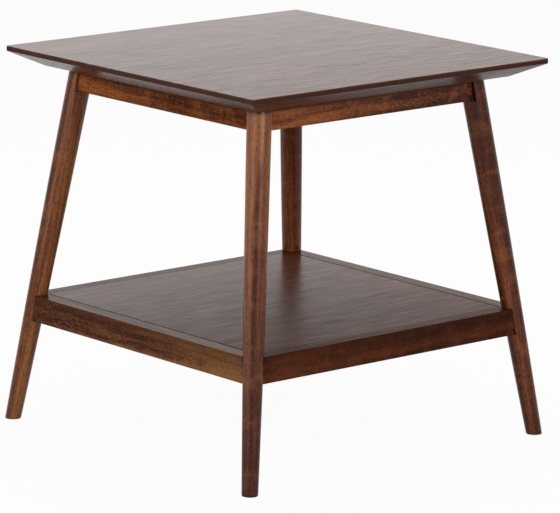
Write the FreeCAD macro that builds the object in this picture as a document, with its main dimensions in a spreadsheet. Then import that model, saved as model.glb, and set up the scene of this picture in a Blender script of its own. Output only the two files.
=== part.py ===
import FreeCAD, Part
import os
import Sketcher
from FreeCAD import Placement, Rotation, Vector

# Square end table with a shelf, in millimetres.
# Frame: +Z up, origin on the floor under the middle of the table, front towards -Y.
# The four corners are alike, so most pieces are made once and turned by quarter turns about Z.

# Driving dimensions: alias, value and what it measures
DIMENSIONS = (
    ("table_height", 560, "floor to the top surface"),
    ("top_side", 560, "side of the square top"),
    ("top_thickness", 28, "top, over its flat underside"),
    ("edge_height", 7, "upright edge of the top, above the bevel"),
    ("bevel_width", 41, "bevel under the top, measured level"),
    ("top_corner_radius", 4, "rounding of the top's corners in plan"),
    ("top_edge_round", 0.8, "easing of the top's upper edge"),
    ("foot_spacing", 547, "leg axes at the floor, centre to centre"),
    ("head_spacing", 400, "leg axes under the top, centre to centre"),
    ("foot_diameter", 23, "leg at the floor"),
    ("head_diameter", 35.6, "leg under the top"),
    ("leg_swell", 1.1, "how far the leg stands out from a straight taper at half length"),
    ("turning_allowance", 10, "extra length of the turned leg, before the level cuts"),
    ("seat_inset", 10, "flat seat in the leg, inboard of the leg's axis"),
    ("seat_gap", 0.4, "play between a leg's seat and what lies in it"),
    ("apron_spacing", 425, "outer face of one apron to the opposite one"),
    ("apron_height", 35, "apron, below the top"),
    ("apron_thickness", 16, "apron"),
    ("apron_ease", 1, "easing of an apron's lower outer edge"),
    ("shelf_level", 190, "floor to the shelf's upper surface"),
    ("shelf_side", 520, "side of the square shelf frame"),
    ("rail_height", 39, "shelf rail"),
    ("rail_width", 24.5, "shelf rail"),
    ("rail_ease", 1.2, "easing of a rail's outer edges"),
    ("panel_thickness", 18, "shelf boards"),
    ("panel_groove", 1.2, "open groove between the boards' ends and the side rails"),
    ("block_side", 50, "apron corner block, along each apron"),
    ("block_height", 27, "apron corner block"),
    ("block_clip", 14, "corner taken off an apron block to clear the leg"),
    ("block_nose", 10, "short flat at each end of a corner block"),
    ("shelf_block_side", 46, "shelf corner block, along each rail"),
    ("shelf_block_height", 19, "shelf corner block"),
    ("cleat_width", 15, "shelf cleat"),
    ("cleat_height", 15, "shelf cleat"),
    ("dowel_diameter", 8, "dowels"),
    ("dowel_depth", 15, "apron dowel, in the leg and in the apron"),
    ("dowel_rise", 8.5, "apron dowels, above and below the apron's middle"),
    ("edge_dowel_depth", 20, "dowels between boards, in each board"),
    ("edge_dowel_pitch", 190, "spacing of the dowels between boards"),
    ("screw_diameter", 4, "wood screws"),
    ("screw_head_diameter", 8, "wood screws"),
    ("screw_head_height", 2.6, "countersunk head"),
    ("screw_point", 5, "pointed end"),
    ("leg_screw_length", 55, "screws from the corner blocks into the legs"),
    ("leg_screw_sink", 6, "leg screws' heads below the face of the block"),
    ("apron_screw_length", 24, "screws from the corner blocks into the aprons"),
    ("apron_screw_grip", 12, "block wood under an apron screw's head"),
    ("apron_screw_offset", 38, "apron screws, from the corner between the aprons"),
    ("apron_screw_rise", 9.5, "apron screws, above the apron's middle"),
    ("top_screw_length", 40, "screws from the corner blocks into the top"),
    ("top_screw_offset", 28, "top screws, from one apron"),
    ("top_screw_setback", 15, "top screws, from the other apron"),
    ("cleat_screw_length", 30, "screws from the cleats into the rails"),
    ("cleat_screw_pitch", 240, "spacing of a cleat's two screws"),
    ("bore_play", 0.1, "room around a dowel or screw in its bore"),
)

TOP_BOARD_COUNT = 5
SHELF_BOARD_COUNT = 4
EDGE_DOWELS_PER_JOINT = 3

# Sides and corners in the order of the quarter turns
SIDES = ("front", "right", "back", "left")
CORNERS = ("front_right", "back_right", "back_left", "front_left")
CORNER_SIGNS = ((1, -1), (1, 1), (-1, 1), (-1, -1))

UP = Vector(0, 0, 1)

# Places closer together than this, in millimetres, count as one
SAME_PLACE = 1e-6

doc = FreeCAD.newDocument("end_table")
dims = doc.addObject("Spreadsheet::Sheet", "dims")
for row, (alias, value, meaning) in enumerate(DIMENSIONS, start=1):
    dims.set(f"A{row}", meaning)
    dims.set(f"B{row}", str(value))
    dims.setAlias(f"B{row}", alias)
doc.recompute()

# Levels and half-widths that several pieces share, as expressions on the sheet
UNDERSIDE = "(dims.table_height - dims.top_thickness)"
APRON_BOTTOM = f"({UNDERSIDE} - dims.apron_height)"
APRON_MIDDLE = f"({UNDERSIDE} - dims.apron_height / 2)"
APRON_FACE = "(dims.apron_spacing / 2)"
APRON_BACK = f"({APRON_FACE} - dims.apron_thickness)"
SHELF_BOTTOM = "(dims.shelf_level - dims.rail_height)"
PANEL_BOTTOM = "(dims.shelf_level - dims.panel_thickness)"
RAIL_FACE = "(dims.shelf_side / 2)"
RAIL_BACK = f"({RAIL_FACE} - dims.rail_width)"
TOP_HALF = "(dims.top_side / 2)"
LEG_RUN = "((dims.foot_spacing - dims.head_spacing) / 2)"
LEG_LENGTH = f"sqrt({UNDERSIDE} ^ 2 + 2 * {LEG_RUN} ^ 2)"
LEG_TILT = f"atan(sqrt(2) * {LEG_RUN} / {UNDERSIDE})"


def number(expression):
    """The value of an expression on the sheet."""
    return float(dims.evalExpression(expression))


def axis_at(level):
    """Distance of a leg's axis from the middle of the table, along X or Y, at a level."""
    return f"(dims.foot_spacing / 2 - {LEG_RUN} * ({level}) / {UNDERSIDE})"


def seat_at(level):
    """Distance of a leg's flat seat from the middle of the table at a level."""
    return f"({axis_at(level)} - dims.seat_inset)"


def bind(item, expressions):
    """Ties properties of a document object to expressions on the sheet."""
    for path, expression in expressions.items():
        item.setExpression(path, expression)


def quarter_turn(turns):
    return Placement(Vector(), Rotation(UP, 90 * turns))


# Building blocks

def box(name, corner, size):
    """A block from its lowest corner and its three sides."""
    item = doc.addObject("Part::Box", name)
    bind(item, dict(zip(("Length", "Width", "Height"), size)))
    bind(item, {f".Placement.Base.{axis}": place for axis, place in zip("xyz", corner)})
    return item


def tapered_block(name, low, high, half_x, half_y):
    """A level-ended block about the Z axis. Each half-size is a pair: at the low end and at the high end."""
    item = doc.addObject("Part::Wedge", name)
    bind(item, {"Ymin": low, "Ymax": high})
    bind(item, {"Xmin": f"-{half_x[0]}", "Xmax": half_x[0], "X2min": f"-{half_x[1]}", "X2max": half_x[1]})
    bind(item, {"Zmin": f"-{half_y[0]}", "Zmax": half_y[0], "Z2min": f"-{half_y[1]}", "Z2max": half_y[1]})
    item.Placement = Placement(Vector(), Rotation(Vector(1, 0, 0), 90))
    return item


def combine(kind, name, base, tool):
    item = doc.addObject(f"Part::{kind}", name)
    item.Base = base
    item.Tool = tool
    return item


def gather(kind, name, property_name, members):
    item = doc.addObject(f"Part::{kind}", name)
    setattr(item, property_name, list(members))
    return item


def origin_plane(body, role):
    return next(plane for plane in body.Origin.OriginFeatures if plane.Role == role)


def new_sketch(body, name, role):
    sketch = body.newObject("Sketcher::SketchObject", name)
    sketch.AttachmentSupport = (origin_plane(body, role), [""])
    sketch.MapMode = "FlatFace"
    return sketch


def pin_point(sketch, geometry, end, place):
    """Fixes a sketch point at a pair of expressions, measured from the sketch's origin."""
    for kind, expression in zip(("DistanceX", "DistanceY"), place):
        index = sketch.addConstraint(Sketcher.Constraint(kind, -1, 1, geometry, end, number(expression)))
        sketch.setExpression(f"Constraints[{index}]", expression)


def join_ends(sketch, first, second):
    sketch.addConstraint(Sketcher.Constraint("Coincident", first[0], first[1], second[0], second[1]))


def polygon_body(name, corners, floor, height):
    """A body padded upwards from a plan outline, given as pairs of expressions."""
    body = doc.addObject("PartDesign::Body", name)
    sketch = new_sketch(body, f"{name}_plan", "XY_Plane")
    points = [Vector(number(x), number(y), 0) for x, y in corners]
    for start, end in zip(points, points[1:] + points[:1]):
        sketch.addGeometry(Part.LineSegment(start, end))
    for index, place in enumerate(corners):
        join_ends(sketch, (index, 2), ((index + 1) % len(corners), 1))
        pin_point(sketch, index, 1, place)
    pad = body.newObject("PartDesign::Pad", f"{name}_pad")
    pad.Profile = sketch
    bind(pad, {"Length": height})
    sketch.setExpression(".AttachmentOffset.Base.z", floor)
    doc.recompute()
    return body, pad


def edge_names(shape, test):
    return [f"Edge{index}" for index, edge in enumerate(shape.Edges, start=1) if test(edge)]


def round_edges(body, name, base, test, radius):
    """A fillet on those edges of a feature that pass a test."""
    fillet = body.newObject("PartDesign::Fillet", name)
    fillet.Base = (base, edge_names(base.Shape, test))
    bind(fillet, {"Radius": radius})
    doc.recompute()
    return fillet


def is_upright(edge):
    start, end = edge.Vertexes[0].Point, edge.Vertexes[-1].Point
    return (end - start).cross(UP).Length < SAME_PLACE


def lies_at(edge, axis, value):
    return all(abs(getattr(vertex.Point, axis) - value) < SAME_PLACE for vertex in edge.Vertexes)


# Fasteners: each kind gives its solids and the bores that they lie in

def fastener_group(name, solids):
    """One node of separate, like fasteners."""
    item = doc.addObject("Part::Feature", name)
    item.Shape = Part.makeCompound(solids)
    return item


def dowel(start, end, diameter):
    return Part.makeCylinder(diameter / 2, (end - start).Length, start, end - start)


def dowel_pair(start, end):
    """A dowel and its bore, which is longer and wider by the play."""
    along = (end - start).normalize()
    play = number("dims.bore_play")
    diameter = number("dims.dowel_diameter")
    return dowel(start, end, diameter), dowel(start - along * play, end + along * play, diameter + 2 * play)


def screw_solid(length, grow, sink):
    """A countersunk screw pointing along +Z with its head's face at zero, grown all round, and
    with its head carried back by the sink."""
    shank = number("dims.screw_diameter") / 2 + grow
    head = number("dims.screw_head_diameter") / 2 + grow
    flare = number("dims.screw_head_height")
    point = number("dims.screw_point")
    outline = [Vector(0, 0, -sink), Vector(head, 0, -sink)]
    if sink:
        outline.append(Vector(head, 0, 0))
    outline.append(Vector(shank, 0, flare))
    outline.append(Vector(shank, 0, length - point))
    outline.append(Vector(0, 0, length + grow))
    profile = Part.Face(Part.makePolygon(outline + outline[:1]))
    return profile.revolve(Vector(), UP, 360)


def screw_pair(head_place, direction, length, sink):
    """A screw and its bore. The bore opens backwards by the sink, for the driver."""
    place = Placement(head_place, Rotation(UP, direction))
    solids = screw_solid(length, 0, 0), screw_solid(length, number("dims.bore_play"), sink)
    for solid in solids:
        solid.Placement = place
    return solids


def four_ways(pairs):
    """Copies of the pairs at all four corners."""
    turned = []
    for turns in range(4):
        for pair in pairs:
            copies = [shape.copy() for shape in pair]
            for copy in copies:
                copy.Placement = quarter_turn(turns).multiply(copy.Placement)
            turned.append(copies)
    return turned


def add_fasteners(name, pairs):
    """Adds the node of the fasteners and, apart from it, the bores that are cut for them."""
    nodes.append(fastener_group(name, [solid for solid, bore in pairs]))
    return fastener_group(f"{name}_bores", [bore for solid, bore in pairs])


def bored(name, blank, bores):
    """A finished piece: the blank with the bores of all the fasteners that reach it."""
    tool = gather("Compound", f"{name}_tools", "Links", bores)
    item = combine("Cut", f"{name}_finished", blank, tool)
    item.Label = name
    nodes.append(item)


nodes = []


# Dowels between the boards, on the boards' middle plane

def edge_dowels(joints, level):
    """Dowels across the joints between boards, spread along X about the middle."""
    pitch = number("dims.edge_dowel_pitch")
    reach = Vector(0, number("dims.edge_dowel_depth"), 0)
    pairs = []
    for joint in joints:
        for index in range(EDGE_DOWELS_PER_JOINT):
            across = (index - (EDGE_DOWELS_PER_JOINT - 1) / 2) * pitch
            middle = Vector(across, joint, level)
            pairs.append(dowel_pair(middle - reach, middle + reach))
    return pairs


def board_width(span, count):
    return f"({span} / {count})"


TOP_BOARD_WIDTH = board_width("dims.top_side", TOP_BOARD_COUNT)
PANEL_SIDE = f"(2 * {RAIL_BACK})"
SHELF_BOARD_WIDTH = board_width(PANEL_SIDE, SHELF_BOARD_COUNT)


def joint_places(width, count):
    """Y of each joint between boards."""
    return [(index - count / 2) * width for index in range(1, count)]


top_dowel_level = number("dims.table_height - dims.top_thickness / 2")
top_joints = joint_places(number(TOP_BOARD_WIDTH), TOP_BOARD_COUNT)
top_edge_bores = add_fasteners("top_board_dowels", edge_dowels(top_joints, top_dowel_level))

shelf_dowel_level = number("dims.shelf_level - dims.panel_thickness / 2")
shelf_joints = joint_places(number(SHELF_BOARD_WIDTH), SHELF_BOARD_COUNT)
shelf_edge_bores = add_fasteners("shelf_board_dowels", edge_dowels(shelf_joints, shelf_dowel_level))


# Dowels from the aprons into the legs, high at one end of an apron and low at the other so that
# the two dowels in a leg pass each other

def apron_dowel(side, rise):
    level = f"({APRON_MIDDLE} + {rise} * dims.dowel_rise)"
    seat = number(seat_at(level))
    depth = number("dims.dowel_depth")
    middle = Vector(side * seat, -number(f"({APRON_FACE} - dims.apron_thickness / 2)"), number(level))
    reach = Vector(side * depth, 0, 0)
    return dowel_pair(middle - reach, middle + reach)


apron_dowel_bores = add_fasteners("apron_dowels", four_ways([apron_dowel(1, 1), apron_dowel(-1, -1)]))


# Screws of the corner blocks, worked out at the front right corner

def from_corner(back, along_front, along_side, level):
    """A point near a corner: its distances from the back of the front piece's corner, inwards."""
    corner = number(back)
    return Vector(corner - along_front, -(corner - along_side), number(level))


OUTWARDS = Vector(1, -1, 0).normalize()
TOWARDS_FRONT = Vector(0, -1, 0)
TOWARDS_SIDE = Vector(1, 0, 0)

block_face = number("(dims.block_side + dims.block_nose) / 2")
leg_screw_sink = number("dims.leg_screw_sink")
leg_screw_head = from_corner(APRON_BACK, block_face, block_face, APRON_MIDDLE) + OUTWARDS * leg_screw_sink
leg_screw = screw_pair(leg_screw_head, OUTWARDS, number("dims.leg_screw_length"), leg_screw_sink)
leg_screw_bores = add_fasteners("leg_screws", four_ways([leg_screw]))

shelf_block_face = number("(dims.shelf_block_side + dims.block_nose) / 2")
shelf_screw_level = f"({PANEL_BOTTOM} - dims.shelf_block_height / 2)"
shelf_screw_head = from_corner(RAIL_BACK, shelf_block_face, shelf_block_face, shelf_screw_level)
shelf_screw_head += OUTWARDS * leg_screw_sink
shelf_leg_screw = screw_pair(shelf_screw_head, OUTWARDS, number("dims.leg_screw_length"), leg_screw_sink)
shelf_leg_screw_bores = add_fasteners("shelf_leg_screws", four_ways([shelf_leg_screw]))

apron_screw_offset = number("dims.apron_screw_offset")
apron_screw_grip = number("dims.apron_screw_grip")
apron_screw_level = f"({APRON_MIDDLE} + dims.apron_screw_rise)"
apron_screw_length = number("dims.apron_screw_length")
apron_screw_sink = number("dims.block_side")
apron_screws = [
    screw_pair(
        from_corner(APRON_BACK, apron_screw_offset, apron_screw_grip, apron_screw_level),
        TOWARDS_FRONT,
        apron_screw_length,
        apron_screw_sink,
    ),
    screw_pair(
        from_corner(APRON_BACK, apron_screw_grip, apron_screw_offset, apron_screw_level),
        TOWARDS_SIDE,
        apron_screw_length,
        apron_screw_sink,
    ),
]
apron_screw_bores = add_fasteners("apron_block_screws", four_ways(apron_screws))

BLOCK_BOTTOM = f"({UNDERSIDE} - dims.block_height)"
top_screw_place = from_corner(
    APRON_BACK, number("dims.top_screw_offset"), number("dims.top_screw_setback"), BLOCK_BOTTOM
)
top_screw = screw_pair(top_screw_place, UP, number("dims.top_screw_length"), number("dims.bore_play"))
top_screw_bores = add_fasteners("top_screws", four_ways([top_screw]))

# Screws of the cleats, through the cleat into the rail
cleat_screw_level = number(f"({PANEL_BOTTOM} - dims.cleat_height / 2)")
cleat_face = -number(f"({RAIL_BACK} - dims.cleat_width)")
cleat_screws = [
    screw_pair(
        Vector(side * number("dims.cleat_screw_pitch") / 2, cleat_face, cleat_screw_level),
        TOWARDS_FRONT,
        number("dims.cleat_screw_length"),
        number("dims.bore_play"),
    )
    for side in (-1, 1)
]
cleat_screw_bores = add_fasteners("shelf_cleat_screws", four_ways(cleat_screws))


# Top: a rounded slab, bevelled underneath, cut into boards

def make_top():
    corners = [(f"{x} * {TOP_HALF}", f"{y} * {TOP_HALF}") for x, y in ((-1, -1), (1, -1), (1, 1), (-1, 1))]
    body, pad = polygon_body("top_slab", corners, UNDERSIDE, "dims.top_thickness")
    rounded = round_edges(body, "top_corners", pad, is_upright, "dims.top_corner_radius")
    level = number("dims.table_height")
    round_edges(body, "top_edge", rounded, lambda edge: lies_at(edge, "z", level), "dims.top_edge_round")

    bevel_top = "(dims.table_height - dims.edge_height)"
    bevel_inner = f"({TOP_HALF} - dims.bevel_width)"
    bevel = tapered_block("top_bevel", UNDERSIDE, bevel_top, (bevel_inner, TOP_HALF), (bevel_inner, TOP_HALF))
    half = f"-{TOP_HALF}"
    edge = box("top_upright", (half, half, bevel_top), ("dims.top_side", "dims.top_side", "dims.edge_height"))
    form = gather("MultiFuse", "top_form", "Shapes", [bevel, edge])
    blank = combine("Common", "top_blank", body, form)

    for index in range(TOP_BOARD_COUNT):
        front = f"(-{TOP_HALF} + {index} * {TOP_BOARD_WIDTH})"
        size = ("dims.top_side", TOP_BOARD_WIDTH, "dims.top_thickness")
        strip = box(f"top_strip_{index + 1}", (f"-{TOP_HALF}", front, UNDERSIDE), size)
        board = combine("Common", f"top_cut_{index + 1}", blank, strip)
        bored(f"top_board_{index + 1}", board, [top_edge_bores, top_screw_bores])


# Seats: the inner side of each leg is cut away flat, along X and along Y, where aprons and shelf lie

BEYOND = "dims.top_side"


def seat_blocks(name, low, high, gap):
    """The room between opposite seats, as two crossing blocks: limited along X and along Y."""
    inner = (f"({seat_at(low)} - {gap})", f"({seat_at(high)} - {gap})")
    outer = (BEYOND, BEYOND)
    return (
        tapered_block(f"{name}_along_x", low, high, inner, outer),
        tapered_block(f"{name}_along_y", low, high, outer, inner),
    )


def room_inside_legs(name, low, high):
    """All the room that the legs' seats leave free between two levels, with the play taken off."""
    blocks = seat_blocks(name, low, high, "dims.seat_gap")
    return gather("MultiFuse", name, "Shapes", blocks)


def make_legs():
    shelf_ceiling = "(dims.shelf_level + dims.seat_gap)"
    above = f"({UNDERSIDE} + dims.turning_allowance)"
    rooms = seat_blocks("apron_seat", APRON_BOTTOM, above, "0")
    rooms += seat_blocks("shelf_seat", SHELF_BOTTOM, shelf_ceiling, "0")
    seats = gather("MultiFuse", "leg_seats", "Shapes", rooms)
    size = (f"2 * {BEYOND}", f"2 * {BEYOND}", UNDERSIDE)
    slab = box("leg_level_cuts", (f"-{BEYOND}", f"-{BEYOND}", "0"), size)
    bores = [apron_dowel_bores, leg_screw_bores, shelf_leg_screw_bores]
    for corner, signs in zip(CORNERS, CORNER_SIGNS):
        turning = make_turning(f"leg_{corner}", signs)
        level = combine("Common", f"leg_{corner}_level", turning, slab)
        seated = combine("Cut", f"leg_{corner}_seated", level, seats)
        bored(f"leg_{corner}", seated, bores)


def make_turning(name, signs):
    """A turned leg about its own axis, longer than needed at both ends, leaning in towards the top."""
    body = doc.addObject("PartDesign::Body", f"{name}_turning")
    sketch = new_sketch(body, f"{name}_profile", "XZ_Plane")
    low = "(-dims.turning_allowance)"
    high = f"({LEG_LENGTH} + dims.turning_allowance)"
    foot = "(dims.foot_diameter / 2)"
    head = "(dims.head_diameter / 2)"
    middle = f"({foot} + {head}) / 2 + dims.leg_swell"
    points = [Vector(number(x), number(z), 0) for x, z in (
        ("0", low), (foot, low), (middle, f"({low} + {high}) / 2"), (head, high), ("0", high)
    )]
    base, foot_point, middle_point, head_point, tip = points
    sketch.addGeometry(Part.LineSegment(base, foot_point))
    sketch.addGeometry(Part.ArcOfCircle(foot_point, middle_point, head_point))
    sketch.addGeometry(Part.LineSegment(head_point, tip))
    sketch.addGeometry(Part.LineSegment(tip, base))
    for index in range(4):
        join_ends(sketch, (index, 2), ((index + 1) % 4, 1))
    pin_point(sketch, 0, 1, ("0", low))
    pin_point(sketch, 0, 2, (foot, low))
    pin_point(sketch, 2, 1, (head, high))
    pin_point(sketch, 3, 1, ("0", high))
    chord = f"(({high} - {low}) ^ 2 + ({head} - {foot}) ^ 2)"
    radius = f"{chord} / (8 * dims.leg_swell) + dims.leg_swell / 2"
    index = sketch.addConstraint(Sketcher.Constraint("Radius", 1, number(radius)))
    sketch.setExpression(f"Constraints[{index}]", radius)
    turning = body.newObject("PartDesign::Revolution", f"{name}_turned")
    turning.Profile = sketch
    turning.ReferenceAxis = (sketch, ["V_Axis"])
    turning.Angle = 360
    body.Placement = Placement(Vector(), Rotation(Vector(signs[1], -signs[0], 0), number(LEG_TILT)))
    bind(body, {
        ".Placement.Base.x": f"{signs[0]} * dims.foot_spacing / 2",
        ".Placement.Base.y": f"{signs[1]} * dims.foot_spacing / 2",
        ".Placement.Rotation.Angle": LEG_TILT,
    })
    return body


# Aprons and shelf rails: a padded bar with eased edges, its ends cut to the leaning seats

def bar_plan(half_length, face, back):
    """Plan of a straight bar at the front, from its half-length and its distances from the middle."""
    return [
        (f"-{half_length}", f"-{face}"),
        (half_length, f"-{face}"),
        (half_length, f"-{back}"),
        (f"-{half_length}", f"-{back}"),
    ]


def make_aprons():
    along_x, along_y = seat_blocks("apron_room", APRON_BOTTOM, UNDERSIDE, "dims.seat_gap")
    half = axis_at(APRON_BOTTOM)
    plan = bar_plan(half, APRON_FACE, APRON_BACK)
    face = -number(APRON_FACE)
    bottom = number(APRON_BOTTOM)
    bores = [apron_dowel_bores, apron_screw_bores]
    for turns, side in enumerate(SIDES):
        body, pad = polygon_body(f"apron_{side}_bar", plan, APRON_BOTTOM, "dims.apron_height")
        round_edges(
            body,
            f"apron_{side}_ease",
            pad,
            lambda edge: lies_at(edge, "y", face) and lies_at(edge, "z", bottom),
            "dims.apron_ease",
        )
        body.Placement = quarter_turn(turns)
        blank = combine("Common", f"apron_{side}_blank", body, along_y if turns % 2 else along_x)
        bored(f"apron_{side}", blank, bores)


def make_rails():
    along_x, along_y = seat_blocks("shelf_room", SHELF_BOTTOM, "dims.shelf_level", "dims.seat_gap")
    plan = [
        (f"-{RAIL_FACE}", f"-{RAIL_FACE}"),
        (RAIL_FACE, f"-{RAIL_FACE}"),
        (RAIL_BACK, f"-{RAIL_BACK}"),
        (f"-{RAIL_BACK}", f"-{RAIL_BACK}"),
    ]
    face = -number(RAIL_FACE)
    bores = [shelf_leg_screw_bores, cleat_screw_bores]
    for turns, side in enumerate(SIDES):
        body, pad = polygon_body(f"rail_{side}_bar", plan, SHELF_BOTTOM, "dims.rail_height")
        round_edges(
            body,
            f"rail_{side}_ease",
            pad,
            lambda edge: lies_at(edge, "y", face) and not is_upright(edge),
            "dims.rail_ease",
        )
        body.Placement = quarter_turn(turns)
        blank = combine("Common", f"rail_{side}_blank", body, along_y if turns % 2 else along_x)
        bored(f"shelf_rail_{side}", blank, bores)


# Corner blocks: a triangular plan with blunt ends, seated between two aprons or two rails

def block_plan(back, side, clip):
    """Plan of a block at the front right corner, from its distances along the two backs."""
    outline = [(clip, "0"), (side, "0"), (side, "dims.block_nose"), ("dims.block_nose", side), ("0", side)]
    if clip != "0":
        outline.append(("0", clip))
    return [(f"({back} - {along_front})", f"-({back} - {along_side})") for along_front, along_side in outline]


def make_blocks(name, plan, floor, ceiling, height, bores):
    """A block at each corner, trimmed where it would reach into a leg."""
    room = room_inside_legs(f"{name}_room", floor, ceiling)
    for turns, corner in enumerate(CORNERS):
        body, pad = polygon_body(f"{name}_{corner}_blank", plan, floor, height)
        body.Placement = quarter_turn(turns)
        trimmed = combine("Common", f"{name}_{corner}_trimmed", body, room)
        bored(f"{name}_{corner}", trimmed, bores)


def make_corner_blocks():
    apron_plan = block_plan(APRON_BACK, "dims.block_side", "dims.block_clip")
    bores = [leg_screw_bores, apron_screw_bores, top_screw_bores]
    make_blocks("corner_block", apron_plan, BLOCK_BOTTOM, UNDERSIDE, "dims.block_height", bores)
    shelf_plan = block_plan(RAIL_BACK, "dims.shelf_block_side", "0")
    floor = f"({PANEL_BOTTOM} - dims.shelf_block_height)"
    bores = [shelf_leg_screw_bores]
    make_blocks("shelf_block", shelf_plan, floor, PANEL_BOTTOM, "dims.shelf_block_height", bores)


# Shelf panel: boards along X between the rails, on cleats, notched where they would reach into a leg

def make_panel():
    room = room_inside_legs("panel_room", PANEL_BOTTOM, "dims.shelf_level")
    half_length = f"({RAIL_BACK} - dims.panel_groove)"
    for index in range(SHELF_BOARD_COUNT):
        front = f"(-{RAIL_BACK} + {index} * {SHELF_BOARD_WIDTH})"
        size = (f"2 * {half_length}", SHELF_BOARD_WIDTH, "dims.panel_thickness")
        strip = box(f"shelf_strip_{index + 1}", (f"-{half_length}", front, PANEL_BOTTOM), size)
        board = combine("Common", f"shelf_cut_{index + 1}", strip, room)
        bored(f"shelf_board_{index + 1}", board, [shelf_edge_bores])


def make_cleats():
    half = f"({RAIL_BACK} - dims.shelf_block_side - dims.seat_gap)"
    inner = f"({RAIL_BACK} - dims.cleat_width)"
    plan = bar_plan(half, RAIL_BACK, inner)
    floor = f"({PANEL_BOTTOM} - dims.cleat_height)"
    for turns, side in enumerate(SIDES):
        body, pad = polygon_body(f"cleat_{side}_bar", plan, floor, "dims.cleat_height")
        body.Placement = quarter_turn(turns)
        bored(f"shelf_cleat_{side}", body, [cleat_screw_bores])


def check_and_write():
    """Stops if anything failed, then writes each piece to its own file."""
    failed = [item.Label for item in doc.Objects if {"Invalid", "Error"} & set(item.State)]
    for node in nodes:
        if node.Shape.isNull() or not node.Shape.isValid() or not node.Shape.Solids:
            failed.append(node.Label)
    if failed:
        raise RuntimeError(f"failed: {', '.join(failed)}")
    os.makedirs("parts", exist_ok=True)
    for node in nodes:
        node.Shape.exportStep(f"parts/{node.Label}.step")
        print(node.Label, len(node.Shape.Solids), round(node.Shape.Volume / 1000, 2), "cm3")


make_top()
make_legs()
make_aprons()
make_rails()
make_corner_blocks()
make_panel()
make_cleats()
doc.recompute()
check_and_write()
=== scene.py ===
import math

import bpy
import numpy as np
from bpy.props import FloatProperty, FloatVectorProperty, PointerProperty
from mathutils import Matrix, Vector


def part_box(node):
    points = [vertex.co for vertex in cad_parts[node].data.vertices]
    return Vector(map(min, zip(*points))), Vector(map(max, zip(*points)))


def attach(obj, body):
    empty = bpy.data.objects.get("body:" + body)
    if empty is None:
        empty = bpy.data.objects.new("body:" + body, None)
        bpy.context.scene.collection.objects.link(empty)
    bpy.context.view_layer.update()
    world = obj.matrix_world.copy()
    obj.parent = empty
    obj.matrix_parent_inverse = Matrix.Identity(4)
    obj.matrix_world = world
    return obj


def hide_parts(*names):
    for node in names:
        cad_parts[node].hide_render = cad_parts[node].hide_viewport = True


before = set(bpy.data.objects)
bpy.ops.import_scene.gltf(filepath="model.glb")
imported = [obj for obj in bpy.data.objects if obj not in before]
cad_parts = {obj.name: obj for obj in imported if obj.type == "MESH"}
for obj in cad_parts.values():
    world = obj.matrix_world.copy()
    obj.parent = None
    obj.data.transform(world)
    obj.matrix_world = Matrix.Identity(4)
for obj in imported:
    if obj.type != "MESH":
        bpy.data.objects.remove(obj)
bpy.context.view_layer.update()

bl_info = {
    "name": "End table with shelf",
    "version": (1, 0, 0),
    "blender": (4, 5, 0),
    "location": "View3D > Sidebar > End Table",
    "description": "Dresses a square end table in stained acacia and sets it in a white studio",
    "category": "Object",
}

MM = 0.001
BODY = "root"
SIDES = ("front", "right", "back", "left")
CORNER_SIGNS = {
    "front_right": (1, -1),
    "back_right": (1, 1),
    "back_left": (-1, 1),
    "front_left": (-1, -1),
}
TOP_BOARDS = [f"top_board_{number}" for number in range(1, 6)]
SHELF_BOARDS = [f"shelf_board_{number}" for number in range(1, 5)]
DOWEL_GROUPS = ("top_board_dowels", "shelf_board_dowels", "apron_dowels")
SCREW_GROUPS = (
    "leg_screws", "shelf_leg_screws", "apron_block_screws", "top_screws", "shelf_cleat_screws",
)

# Levels read from the construction, and the places of the top's front and back edges
LEG_HEAD_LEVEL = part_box("leg_front_left")[1].z
APRON_LOW_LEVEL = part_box("apron_front")[0].z
APRON_HIGH_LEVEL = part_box("apron_front")[1].z
RAIL_LOW_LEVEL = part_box("shelf_rail_front")[0].z
SHELF_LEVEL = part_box("shelf_rail_front")[1].z
TOP_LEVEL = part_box("top_board_1")[1].z
TABLE_DEPTH = (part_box("top_board_1")[0].y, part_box("top_board_5")[1].y)


def linear(code):
    """A colour as linear light, by the sRGB curve, from a hex value such as #8a5a3c."""
    parts = np.array([int(code[start:start + 2], 16) for start in (1, 3, 5)]) / 255
    curved = np.where(parts <= 0.04045, parts / 12.92, ((parts + 0.055) / 1.055) ** 2.4)
    return tuple(float(part) for part in curved)


def opaque(colour):
    return (*colour, 1.0)


def grey(value):
    return (value, value, value)


WHITE = opaque(grey(1.0))


# Settings that a user would change

def colour_setting(name, description, code):
    return FloatVectorProperty(
        name=name, description=description, subtype="COLOR", size=3, min=0, max=1, default=linear(code)
    )


def length_setting(name, description, millimetres):
    return FloatProperty(name=name, description=description, unit="LENGTH", default=millimetres * MM)


def angle_setting(name, description, degrees):
    radians = math.radians(degrees)
    return FloatProperty(name=name, description=description, subtype="ANGLE", default=radians)


def power_setting(name, description, watts):
    return FloatProperty(name=name, description=description, unit="POWER", default=watts)


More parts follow.
